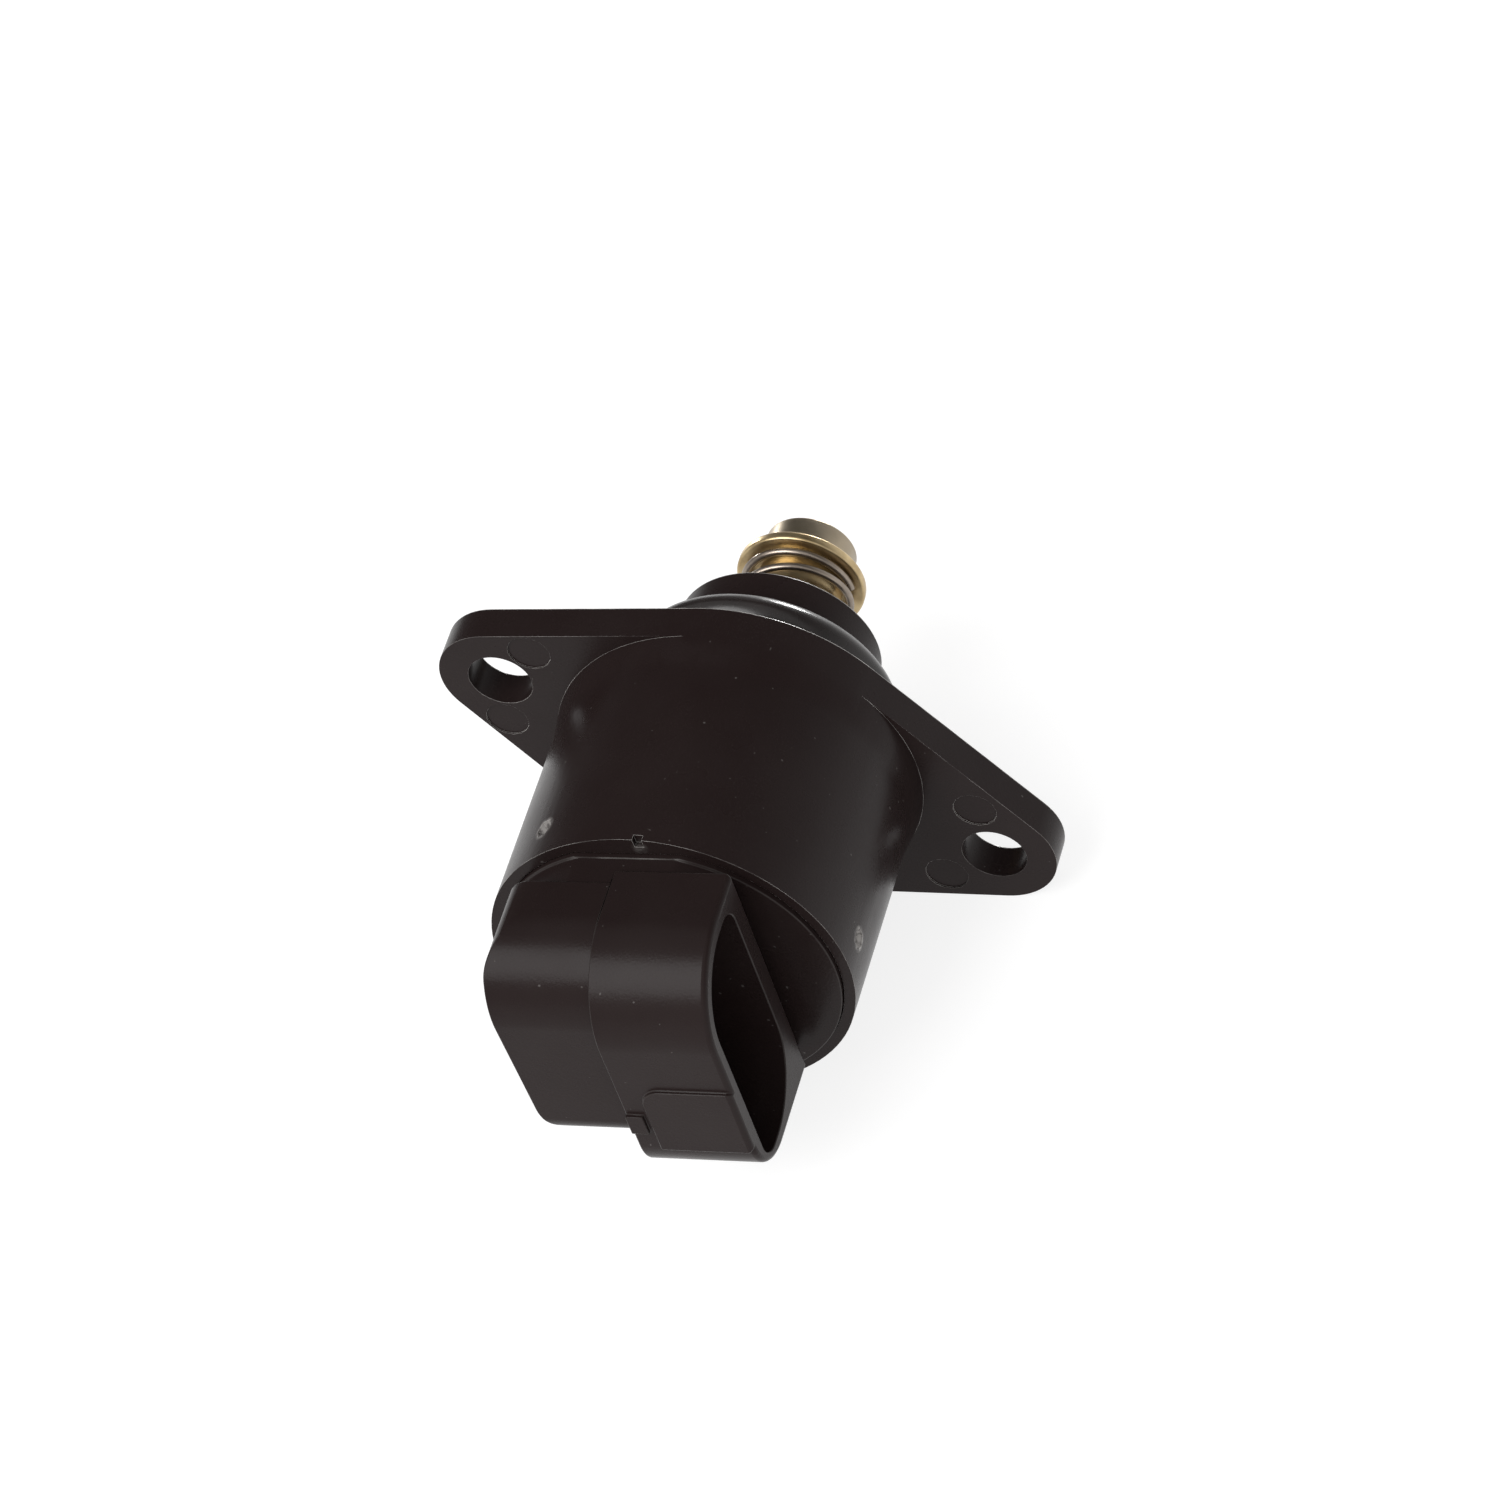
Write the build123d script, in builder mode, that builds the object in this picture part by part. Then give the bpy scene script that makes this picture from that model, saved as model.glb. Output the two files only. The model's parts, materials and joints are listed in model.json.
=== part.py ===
"""Idle air control valve: a stepper motor in a flanged moulding drives a sprung pintle along the Y axis.

Millimetres. The origin is on the valve's axis at the flange's mounting face. +Y points along the pintle,
+X out of the plug socket's mouth, and +Z up, square to the flange's straight lower edge.
"""
import os
from math import cos, radians, sin, sqrt

from build123d import *

# Flange
flange_thickness = 3.6
flange_middle_radius = 17.7
ear_radius = 6.0
hole_radius = 3.15
hole_spacing = 49.1
hole_shift = 0.8
bolt_line_angle = -28.5
mark_radius = 2.1
mark_sides = 16
mark_depth = 0.15
mark_reach = 22.0
mark_side = 5.25

# Round body
body_radius = 17.2
body_length = 24.8
body_wall = 2.1
root_length = 4.0
notch_width = 0.9
notch_depth = 0.6
notch_x = 1.45
stake_radius = 1.0
stake_sides = 6
stake_depth = 0.8
stake_taper = 35
stake_inset = 4.0
stake_bearings = (0, 123, 241)

# Nose
boss_radius = 12.9
boss_length = 3.3
pilot_radius = 10.0
nose_length = 11.8
spring_bore_radius = 6.7
spring_floor = 1.0
ring_section = 3.55
ring_sides = 48
ring_groove = 0.25
groove_room = 0.5

# Fits
loose_fit = 0.1
bonded_fit = 0.04
running_fit = 0.05

# End cap
cap_radius = 16.05
cap_flat = 15.2
cap_thickness = 2.2
spigot_length = 1.8
pocket_depth = 1.0
pocket_margin = 0.7

# Plug socket
mouth_x = 10.75
mouth_depth = 10.25
mouth_thick = 10.25
mouth_width = 23.85
mouth_centre_y = -37.65
mouth_centre_z = 2.2
mouth_big_radius = 7.0
mouth_small_radius = 2.2
shroud_wall = 1.45
shroud_rear_wall = 2.35
shroud_back_x = -0.45
shroud_low_radius = 5.0
root_radius = 15.85
root_height = 4.0
root_right_x = 9.3
block_left_x = -10.1
block_lean = 0.9
block_bottom_z = -7.3
block_top_z = 15.5
block_root_height = 3.1
block_front_step = 1.5
block_top_radius = 7.5
block_side_radius = 2.7
block_low_radius = 2.6
block_corner_radius = 4.0
pad_left_x = 1.8
pad_top_z = 2.0
pad_height = 0.4
pad_radius = 2.0
lug_width = 1.7
lug_length = 2.4
lug_height = 0.4
lug_top_z = -1.6

# Contact blades
pin_count = 4
pin_pitch = 5.0
pin_width = 1.5
pin_thick = 0.8
pin_tip_x = 7.0
pin_bend_x = -5.0
pin_tail = 0.6

# Stator
cup_wall = 0.8
claw_count = 6
claw_inner_radius = 8.4
claw_thick = 0.8
claw_end_room = 1.05
claw_gap = 6.2
bobbin_wall = 0.7
bobbin_room = 0.3
stator_sides = 4 * claw_count

# Rotor
air_clearance = 0.3
magnet_wall = 3.0
hub_end_wall = 0.9
end_play = 0.1
front_journal_radius = 3.9
rear_journal_radius = 2.0
bearing_wall = 2.05
bearing_length = 2.8
bush_wall = 1.5
bush_length = 2.4
bush_room = 0.2

# Stem, head and spring
screw_radius = 2.5
screw_flat = 2.0
screw_back = 15.0
guide_length = 4.05
retainer_radius = 6.35
retainer_thick = 1.0
retainer_hub_radius = 4.2
retainer_hub_length = 4.0
head_base_y = 20.65
head_radius = 4.5
head_length = 3.65
head_chamfer = 0.3
head_bore_depth = 2.4
wire_radius = 0.4
wire_sides = 6
coil_radius = 5.3
closed_pitch = 1.0
active_turns = 3
closed_turns = 1
turn_steps = 20
spring_end_room = 0.1

# Stations along the axis that follow from the sizes above
rim_y = -flange_thickness - body_length
cap_inner_y = rim_y + cap_thickness
stack_back_y = cap_inner_y + spigot_length
bore_radius = body_radius - body_wall
guide_back_y = spring_floor - guide_length
bore_floor_y = guide_back_y - bearing_length
stack_length = (bore_floor_y - stack_back_y) / 2
middle_y = bore_floor_y - stack_length
shroud_front_y = mouth_centre_y - mouth_thick / 2 - shroud_wall
shroud_rear_y = mouth_centre_y + mouth_thick / 2 + shroud_rear_wall
shroud_top_z = mouth_centre_z + mouth_width / 2 + shroud_wall
shroud_bottom_z = mouth_centre_z - mouth_width / 2 - shroud_wall
block_front_y = shroud_front_y + block_front_step
pad_bottom_z = shroud_bottom_z + shroud_low_radius
claw_outer_radius = claw_inner_radius + claw_thick
claw_length = stack_length - 2 * cup_wall - claw_end_room
magnet_end_room = cup_wall + claw_end_room
cup_radius = bore_radius - loose_fit
pin_tail_y = stack_back_y - pocket_depth + pin_tail
bearing_bore = front_journal_radius + running_fit
bearing_radius = bearing_bore + bearing_wall
groove_end_y = boss_length + bonded_fit + ring_section + groove_room
groove_radius = pilot_radius - ring_groove
bush_bore = rear_journal_radius + running_fit
nut_bore = screw_radius + running_fit
magnet_radius = claw_inner_radius - air_clearance
hub_radius = magnet_radius - magnet_wall - bonded_fit
hub_front_y = bore_floor_y - end_play
hub_back_y = stack_back_y + bush_room
journal_back_y = stack_back_y - bush_length + bush_room
retainer_back_y = head_base_y - retainer_thick

bolt_direction = Vector(cos(radians(bolt_line_angle)), sin(radians(bolt_line_angle)))
bolt_square = Vector(-bolt_direction.Y, bolt_direction.X)


def profile(*points):
    """Closed half section, radius along X and station along Y, to be turned about the valve's axis."""
    with BuildSketch(Plane.XY) as section:
        with BuildLine():
            Polyline(*points, close=True)
        make_face()
    return section.sketch


def station(y):
    """Plane square to the valve's axis, with sketch x along X and sketch y along Z, facing the socket end."""
    return Plane.XZ.offset(-y)


def hole_centres():
    """Screw holes on the bolt line, the pair shifted along it from the valve's axis."""
    return [bolt_direction * (hole_shift + side * hole_spacing / 2) for side in (-1, 1)]


def mark_centres():
    """Ejector marks, two beside each screw hole."""
    along = bolt_direction * mark_reach
    across = bolt_square * mark_side
    return [along + across, along - across, across - along, -along - across]


def keyed_disc(y, radius, flat):
    """Disc with one flat at its top."""
    with BuildSketch(station(y)) as disc:
        Circle(radius)
        with Locations((0, flat + radius)):
            Rectangle(2 * radius, 2 * radius, mode=Mode.SUBTRACT)
    return disc.sketch


def box_outline(plane, low, high):
    """Rectangle between two corners on a plane."""
    with BuildSketch(plane) as outline:
        with Locations(((low[0] + high[0]) / 2, (low[1] + high[1]) / 2)):
            Rectangle(high[0] - low[0], high[1] - low[1])
    return outline.sketch


def mouth_outline():
    """Mouth of the socket: two opposite corners widely rounded, two tightly, so the plug fits one way."""
    with BuildSketch(Plane.YZ.offset(mouth_x)) as outline:
        with Locations((mouth_centre_y, mouth_centre_z)):
            Rectangle(mouth_thick, mouth_width)
        corners = outline.vertices().sort_by(lambda v: (v.X - mouth_centre_y) * (v.Y - mouth_centre_z))
        fillet(corners[:2], mouth_big_radius)
        corners = outline.vertices().sort_by(lambda v: (v.X - mouth_centre_y) * (v.Y - mouth_centre_z))
        fillet(corners[-2:], mouth_small_radius)
    return outline.sketch


def side_outline(x, front, rear, bottom, top, bottom_radius, top_radius):
    """Side view of a half of the socket: square at the cap, its two front corners rounded."""
    with BuildSketch(Plane.YZ.offset(x)) as outline:
        with Locations(((front + rear) / 2, (bottom + top) / 2)):
            Rectangle(rear - front, top - bottom)
        fillet(outline.vertices().group_by(Axis.X)[0].sort_by(Axis.Y)[-1], top_radius)
        fillet(outline.vertices().group_by(Axis.X)[0].sort_by(Axis.Y)[0], bottom_radius)
    return outline.sketch


def blade_outline(z, margin):
    """Contact blade seen along Z: out of the socket, one bend, and down through the cap."""
    half = pin_thick / 2 + margin
    with BuildSketch(Plane.XY.offset(z - pin_width / 2 - margin)) as outline:
        with BuildLine():
            Polyline(
                (pin_tip_x + margin, mouth_centre_y - half),
                (pin_tip_x + margin, mouth_centre_y + half),
                (pin_bend_x + half, mouth_centre_y + half),
                (pin_bend_x + half, pin_tail_y + margin),
                (pin_bend_x - half, pin_tail_y + margin),
                (pin_bend_x - half, mouth_centre_y - half),
                close=True,
            )
        make_face()
    return outline.sketch


def stator_ring(y, outer, inner):
    """Ring of the stator seen along the axis, its circles drawn with flats."""
    with BuildSketch(station(y)) as ring:
        RegularPolygon(outer, stator_sides)
        RegularPolygon(inner, stator_sides, mode=Mode.SUBTRACT)
    return ring.sketch


def claw_ring(y):
    """Ring of claw poles, cut from a ring by even gaps."""
    with BuildSketch(station(y)) as ring:
        RegularPolygon(claw_outer_radius, stator_sides)
        RegularPolygon(claw_inner_radius, stator_sides, mode=Mode.SUBTRACT)
        with PolarLocations(claw_inner_radius, claw_count):
            Rectangle(claw_inner_radius, claw_gap, mode=Mode.SUBTRACT)
    return ring.sketch


def flatted_circle(y, radius, flat):
    """Round bar with two flats, square to Z."""
    with BuildSketch(station(y)) as bar:
        Circle(radius)
        Rectangle(2 * radius, 2 * flat, mode=Mode.INTERSECT)
    return bar.sketch


pin_places = [mouth_centre_z + pin_pitch * (i - (pin_count - 1) / 2) for i in range(pin_count)]
pieces = {}

# Housing: flange, round body and nose in one moulding
with BuildPart() as housing:
    with BuildSketch(station(0)) as flange_outline:
        Circle(flange_middle_radius)
        with Locations(*hole_centres()):
            Circle(ear_radius)
        make_hull(flange_outline.edges())
    extrude(amount=flange_thickness)
    revolve(
        profile(
            (0, rim_y),
            (body_radius, rim_y),
            (body_radius, -flange_thickness - root_length),
            (flange_middle_radius, -flange_thickness),
            (0, -flange_thickness),
        ),
        axis=Axis.Y,
    )
    revolve(
        profile(
            (0, 0),
            (boss_radius, 0),
            (boss_radius, boss_length),
            (groove_radius, boss_length),
            (groove_radius, groove_end_y),
            (pilot_radius, groove_end_y),
            (pilot_radius, nose_length),
            (0, nose_length),
        ),
        axis=Axis.Y,
    )
    revolve(
        profile(
            (0, rim_y),
            (bore_radius, rim_y),
            (bore_radius, bore_floor_y),
            (bearing_radius + bonded_fit, bore_floor_y),
            (bearing_radius + bonded_fit, spring_floor),
            (spring_bore_radius, spring_floor),
            (spring_bore_radius, nose_length),
            (0, nose_length),
        ),
        axis=Axis.Y,
        mode=Mode.SUBTRACT,
    )
    extrude(
        keyed_disc(rim_y, cap_radius + loose_fit, cap_flat + loose_fit),
        amount=-cap_thickness,
        mode=Mode.SUBTRACT,
    )
    with BuildSketch(station(0)):
        with Locations(*hole_centres()):
            Circle(hole_radius)
    extrude(amount=flange_thickness, mode=Mode.SUBTRACT)
    with BuildSketch(station(-flange_thickness)):
        with Locations(*mark_centres()):
            RegularPolygon(mark_radius, mark_sides)
    extrude(amount=-mark_depth, mode=Mode.SUBTRACT)
    with Locations((notch_x, rim_y, body_radius)):
        Box(notch_width, 2 * notch_depth, body_radius - cap_flat, mode=Mode.SUBTRACT)
    for bearing in stake_bearings:
        outward = Vector(cos(radians(bearing)), 0, sin(radians(bearing)))
        centre = outward * body_radius + Vector(0, rim_y + stake_inset, 0)
        with BuildSketch(Plane(origin=centre, z_dir=outward)):
            RegularPolygon(stake_radius, stake_sides)
        extrude(amount=-stake_depth, taper=stake_taper, mode=Mode.SUBTRACT)
pieces["housing"] = housing

# Solid half of the plug socket: its left side leans out towards the top, and its root stays inside the rim
with BuildPart() as socket_block:
    with BuildSketch(station(rim_y)) as block_plan:
        with BuildLine():
            Polyline(
                (shroud_back_x, block_top_z),
                (block_left_x - block_lean, block_top_z),
                (block_left_x, block_bottom_z),
                (shroud_back_x, block_bottom_z),
                close=True,
            )
        make_face()
        fillet(block_plan.vertices().group_by(Axis.Y)[0].sort_by(Axis.X)[0], block_corner_radius)
        fillet(block_plan.vertices().group_by(Axis.Y)[-1].sort_by(Axis.X)[0], block_side_radius)
    extrude(amount=rim_y - block_front_y)
    extrude(
        side_outline(shroud_back_x, block_front_y, rim_y, block_bottom_z, block_top_z,
                     block_low_radius, block_top_radius),
        amount=-root_radius,
        mode=Mode.INTERSECT,
    )
    with BuildSketch(station(rim_y)):
        Rectangle(4 * root_radius, 4 * root_radius)
        Circle(root_radius, mode=Mode.SUBTRACT)
        with Locations((0, cap_flat + root_radius)):
            Rectangle(2 * root_radius, 2 * root_radius)
    extrude(amount=block_root_height, mode=Mode.SUBTRACT)

# End cap: disc, spigot, and the plug socket standing on it
with BuildPart() as end_cap:
    extrude(keyed_disc(rim_y, cap_radius, cap_flat), amount=-cap_thickness)
    with BuildSketch(station(cap_inner_y)):
        RegularPolygon(cup_radius, stator_sides)
    extrude(amount=-spigot_length)
    add(socket_block.part)
    with BuildSketch(station(rim_y)):
        add(box_outline(Plane.XY, (shroud_back_x, shroud_bottom_z), (root_right_x, cap_flat)))
        Circle(root_radius, mode=Mode.INTERSECT)
    extrude(amount=root_height)
    extrude(
        side_outline(mouth_x, shroud_front_y, shroud_rear_y, shroud_bottom_z, shroud_top_z,
                     shroud_low_radius, mouth_big_radius + shroud_wall),
        amount=-(mouth_x - shroud_back_x),
    )
    extrude(mouth_outline(), amount=-mouth_depth, mode=Mode.SUBTRACT)
    with BuildSketch(station(shroud_front_y)) as pad_outline:
        with Locations(((pad_left_x + mouth_x) / 2, (pad_top_z + pad_bottom_z) / 2)):
            Rectangle(mouth_x - pad_left_x, pad_top_z - pad_bottom_z)
        fillet(pad_outline.vertices().group_by(Axis.X)[0].sort_by(Axis.Y)[-1], pad_radius)
    extrude(amount=pad_height)
    lug_low = (shroud_back_x, lug_top_z - lug_length)
    lug_high = (shroud_back_x + lug_width, lug_top_z)
    extrude(box_outline(station(shroud_front_y), lug_low, lug_high), amount=lug_height)
    revolve(
        profile(
            (0, stack_back_y - bush_length),
            (bush_bore + bush_wall + bonded_fit, stack_back_y - bush_length),
            (bush_bore + bush_wall + bonded_fit, stack_back_y),
            (0, stack_back_y),
        ),
        axis=Axis.Y,
        mode=Mode.SUBTRACT,
    )
    pocket_half = pin_thick / 2 + pocket_margin
    pocket_low = (pin_bend_x - pocket_half, pin_places[0] - pin_width / 2 - pocket_margin)
    pocket_high = (pin_bend_x + pocket_half, pin_places[-1] + pin_width / 2 + pocket_margin)
    extrude(box_outline(station(stack_back_y), pocket_low, pocket_high),
            amount=pocket_depth, mode=Mode.SUBTRACT)
    for z in pin_places:
        extrude(blade_outline(z, bonded_fit), amount=pin_width + 2 * bonded_fit, mode=Mode.SUBTRACT)
pieces["end_cap"] = end_cap

# Contact blades
for index, z in enumerate(pin_places):
    with BuildPart() as terminal_pin:
        extrude(blade_outline(z, 0), amount=pin_width)
    pieces[f"terminal_pin_{index + 1}"] = terminal_pin

# Rubber ring at the root of the nose, both its circles drawn with flats
with BuildPart() as nose_o_ring:
    ring_inner = groove_radius + bonded_fit
    with BuildSketch(station(boss_length + bonded_fit)):
        RegularPolygon(ring_inner + ring_section, ring_sides)
        RegularPolygon(ring_inner, ring_sides, major_radius=False, mode=Mode.SUBTRACT)
    extrude(amount=-ring_section)
    chamfer(nose_o_ring.faces().filter_by(Axis.Y).edges(), ring_section / (2 + sqrt(2)))
pieces["nose_o_ring"] = nose_o_ring

# Stator: for each phase a cup with claw poles, a bobbin and its winding
bobbin_length = stack_length - 2 * (cup_wall + bonded_fit)
coil_inset = bobbin_wall + bonded_fit
sleeve = claw_outer_radius + loose_fit
winding = sleeve + bobbin_wall
flange_radius = cup_radius - cup_wall - bobbin_room
for side, name in ((1, "front"), (-1, "rear")):
    end_y = middle_y + side * stack_length
    floor_y = end_y - side * cup_wall
    bobbin_end = floor_y - side * bonded_fit
    bobbin_mid = bobbin_end - side * bobbin_length
    with BuildPart() as stator_cup:
        extrude(stator_ring(end_y, cup_radius, claw_inner_radius), amount=side * cup_wall)
        extrude(stator_ring(floor_y, cup_radius, cup_radius - cup_wall),
                amount=side * (stack_length - cup_wall - bonded_fit))
        extrude(claw_ring(floor_y), amount=side * claw_length)
    pieces[f"{name}_stator_cup"] = stator_cup
    with BuildPart() as bobbin:
        extrude(stator_ring(bobbin_end, winding, sleeve), amount=side * bobbin_length)
        extrude(stator_ring(bobbin_end, flange_radius, sleeve), amount=side * bobbin_wall)
        extrude(stator_ring(bobbin_mid, flange_radius, sleeve), amount=-side * bobbin_wall)
    pieces[f"{name}_bobbin"] = bobbin
    with BuildPart() as coil:
        extrude(stator_ring(bobbin_end - side * coil_inset, flange_radius - bonded_fit, winding + bonded_fit),
                amount=side * (bobbin_length - 2 * coil_inset))
    pieces[f"{name}_coil"] = coil

# Centre pole plate: its claws stand between those of both cups
with BuildPart() as centre_pole_plate:
    extrude(stator_ring(middle_y + cup_wall, cup_radius - cup_wall - bonded_fit, claw_inner_radius),
            amount=2 * cup_wall)
    half_pitch = Rot(0, 180 / claw_count, 0)
    extrude(half_pitch * claw_ring(middle_y + cup_wall), amount=-claw_length)
    extrude(half_pitch * claw_ring(middle_y - cup_wall), amount=claw_length)
pieces["centre_pole_plate"] = centre_pole_plate

# Rotor: hub with the nut of the lead screw, and the magnet around it
with BuildPart() as rotor_hub:
    revolve(
        profile(
            (0, journal_back_y),
            (rear_journal_radius, journal_back_y),
            (rear_journal_radius, hub_back_y),
            (hub_radius, hub_back_y),
            (hub_radius, hub_front_y),
            (front_journal_radius, hub_front_y),
            (front_journal_radius, guide_back_y - loose_fit),
            (nut_bore, guide_back_y - loose_fit),
            (nut_bore, hub_back_y + hub_end_wall),
            (0, hub_back_y + hub_end_wall),
        ),
        axis=Axis.Y,
    )
pieces["rotor_hub"] = rotor_hub

with BuildPart() as rotor_magnet:
    with BuildSketch(station(bore_floor_y - magnet_end_room)):
        RegularPolygon(magnet_radius, stator_sides)
        Circle(hub_radius + bonded_fit, mode=Mode.SUBTRACT)
    extrude(amount=2 * (stack_length - magnet_end_room))
pieces["rotor_magnet"] = rotor_magnet

# Bearings of the rotor
with BuildPart() as front_bearing:
    revolve(
        profile(
            (bearing_bore, bore_floor_y),
            (bearing_radius, bore_floor_y),
            (bearing_radius, guide_back_y),
            (bearing_bore, guide_back_y),
        ),
        axis=Axis.Y,
    )
pieces["front_bearing"] = front_bearing

with BuildPart() as rear_bush:
    revolve(
        profile(
            (bush_bore, stack_back_y - bush_length),
            (bush_bore + bush_wall, stack_back_y - bush_length),
            (bush_bore + bush_wall, stack_back_y),
            (bush_bore, stack_back_y),
        ),
        axis=Axis.Y,
    )
pieces["rear_bush"] = rear_bush

# Guide that stops the stem from turning
with BuildPart() as stem_guide:
    with BuildSketch(station(guide_back_y)):
        Circle(bearing_radius)
    extrude(amount=guide_back_y - spring_floor)
    extrude(flatted_circle(guide_back_y, screw_radius + running_fit, screw_flat + running_fit),
            amount=guide_back_y - spring_floor, mode=Mode.SUBTRACT)
pieces["stem_guide"] = stem_guide

# Lead screw: flatted threaded stem that carries the head
with BuildPart() as lead_screw:
    extrude(flatted_circle(-screw_back, screw_radius, screw_flat),
            amount=-(screw_back + head_base_y + head_bore_depth))
pieces["lead_screw"] = lead_screw

# Washer that the spring pushes against
with BuildPart() as spring_retainer:
    revolve(
        profile(
            (screw_radius + bonded_fit, retainer_back_y - retainer_hub_length),
            (retainer_hub_radius, retainer_back_y - retainer_hub_length),
            (retainer_hub_radius, retainer_back_y),
            (retainer_radius, retainer_back_y),
            (retainer_radius, head_base_y),
            (screw_radius + bonded_fit, head_base_y),
        ),
        axis=Axis.Y,
    )
pieces["spring_retainer"] = spring_retainer

# Head that closes the air passage
with BuildPart() as pintle_tip:
    revolve(
        profile(
            (0, head_base_y),
            (head_radius, head_base_y),
            (head_radius, head_base_y + head_length - head_chamfer),
            (head_radius - head_chamfer, head_base_y + head_length),
            (0, head_base_y + head_length),
        ),
        axis=Axis.Y,
    )
    extrude(flatted_circle(head_base_y, screw_radius + bonded_fit, screw_flat + bonded_fit),
            amount=-(head_bore_depth + bonded_fit), mode=Mode.SUBTRACT)
pieces["pintle_tip"] = pintle_tip

# Return spring: closed turns at both ends, open turns between them
spring_low = spring_floor + spring_end_room + wire_radius
spring_high = retainer_back_y - spring_end_room - wire_radius
open_pitch = (spring_high - spring_low - 2 * closed_turns * closed_pitch) / active_turns
with BuildPart() as return_spring:
    for step in range(turn_steps * (active_turns + 2 * closed_turns) + 1):
        turn = step / turn_steps
        opened = min(max(turn - closed_turns, 0), active_turns)
        outward = Vector(1, 0, 0).rotate(Axis.Y, 360 * turn)
        rise = closed_pitch * (turn - opened) + open_pitch * opened
        with BuildSketch(Plane(outward * coil_radius + Vector(0, spring_low + rise, 0), x_dir=outward,
                               z_dir=Vector(0, 1, 0).cross(outward))):
            RegularPolygon(wire_radius, wire_sides)
    loft(ruled=True)
pieces["return_spring"] = return_spring

os.makedirs("parts", exist_ok=True)
for name, piece in pieces.items():
    piece.part.label = name
    export_step(piece.part, f"parts/{name}.step")
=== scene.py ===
"""Idle air control valve, dressed for a studio picture.

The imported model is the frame. Every piece takes its place and size from it, in metres, with +Y along the
valve's axis towards the pintle, +X out of the plug socket's mouth and +Z up.
"""
import json
from math import ceil, cos, hypot, pi, radians, sin

import bpy
from bpy.props import FloatProperty, FloatVectorProperty, IntProperty, PointerProperty
from mathutils import Matrix, Vector


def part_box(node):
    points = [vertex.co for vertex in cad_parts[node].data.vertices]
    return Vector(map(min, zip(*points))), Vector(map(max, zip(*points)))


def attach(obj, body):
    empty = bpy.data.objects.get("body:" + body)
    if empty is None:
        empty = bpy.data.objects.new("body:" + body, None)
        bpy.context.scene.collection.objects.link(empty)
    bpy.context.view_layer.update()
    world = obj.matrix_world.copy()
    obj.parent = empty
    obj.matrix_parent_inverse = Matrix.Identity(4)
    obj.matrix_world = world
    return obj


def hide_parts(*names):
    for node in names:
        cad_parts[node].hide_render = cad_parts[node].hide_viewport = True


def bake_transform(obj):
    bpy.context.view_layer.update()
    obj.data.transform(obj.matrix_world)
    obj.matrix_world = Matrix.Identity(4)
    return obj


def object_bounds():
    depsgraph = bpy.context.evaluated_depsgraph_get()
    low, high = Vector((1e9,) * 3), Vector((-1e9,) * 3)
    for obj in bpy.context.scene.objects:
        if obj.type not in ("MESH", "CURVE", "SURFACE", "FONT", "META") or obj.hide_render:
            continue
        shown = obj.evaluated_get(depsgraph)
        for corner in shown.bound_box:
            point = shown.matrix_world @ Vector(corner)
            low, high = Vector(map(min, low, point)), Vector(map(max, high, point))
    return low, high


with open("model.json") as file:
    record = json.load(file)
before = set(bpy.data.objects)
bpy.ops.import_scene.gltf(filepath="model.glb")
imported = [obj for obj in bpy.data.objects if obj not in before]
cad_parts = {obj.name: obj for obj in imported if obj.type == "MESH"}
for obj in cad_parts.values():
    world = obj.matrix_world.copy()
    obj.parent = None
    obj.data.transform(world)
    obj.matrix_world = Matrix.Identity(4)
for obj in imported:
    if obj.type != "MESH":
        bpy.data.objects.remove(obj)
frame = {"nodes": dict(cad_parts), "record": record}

bl_info = {
    "name": "Idle Air Valve",
    "version": (1, 0, 0),
    "blender": (4, 5, 0),
    "location": "View3D > Sidebar > Valve",
    "description": "Builds the finished pieces of an idle air control valve on its packed model",
    "category": "Object",
}

CAD_LOW, CAD_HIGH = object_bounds()
MOUNTS = {mount["name"]: mount for mount in frame["record"]["mounts"]}
BODY = "valve_body"
PINTLE = "pintle"
AXIS = (0.0, 1.0, 0.0)
ORIGIN = (0.0, 0.0, 0.0)
MM_PER_M = 1000

# Lengths that count as none: between places at one level, and between vertices that lie on each other
TINY = 1e-5
CLOSE = 1e-6

# Angles in degrees: up to the first, faces are one flat; from the others on, an edge is sharp
FLAT_ANGLE = 0.5
SHARP_ANGLE = 35.0
THREAD_SHARP_ANGLE = 20.0

# Rounded faces carry this slot's number while they are made, and this mark afterwards
EDGE_SLOT = 1
EDGE_MARK = "rounded_edge"

# Steps of one turn round the axis, and points of the round sections
LATHE_STEPS = 96
RING_STEPS = 160
RING_POINTS = 32
WIRE_STEPS = 56
WIRE_POINTS = 14
THREAD_STEPS = 36

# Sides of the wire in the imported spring, which stands on one of them
PACKED_WIRE_SIDES = 6

# Where the photograph was taken from: the eye, and the picture's right and upward directions
CAMERA_EYE = (0.202766, -0.350167, 0.393758)
CAMERA_RIGHT = (0.93322, 0.25020, -0.25787)
CAMERA_UP = (-0.01540, 0.74490, 0.66700)
PICTURE_WIDTH_MM = 36.0

# Bearings of the stakes around the body, and how white each of them is; the first, on the dim right side,
# is whiter as a painted glint
STAKE_ANGLES = (0.0, 123.0, 241.0)
STAKE_WHITENESS_AND_GLINT = (1.0, 0.57, 0.57)

# How white the other marks are, the cap's line being a painted highlight, and the share of a mark's radius
# that has its full weight
NOTCH_WEIGHT = 0.07
HIGHLIGHT_WEIGHT = 0.20
SPECK_WEIGHT = 0.10
MARK_CORE = 0.4

# Where the table's glow sets in along X, and where the room's brightness changes by height and by side
GLOW_FADE = (-0.40, -0.15)
HEIGHT_FADE = (0.0, 0.8)
SIDE_FADE = (-0.5, 0.5)


# Settings

def colour(label, words, value):
    """Colour property, in linear light."""
    return FloatVectorProperty(name=label, description=words, default=value, min=0, max=1, size=3,
                               subtype="COLOR")


def length(label, words, value):
    """Length property, in metres."""
    return FloatProperty(name=label, description=words, default=value, min=0, unit="LENGTH", precision=5)


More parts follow.
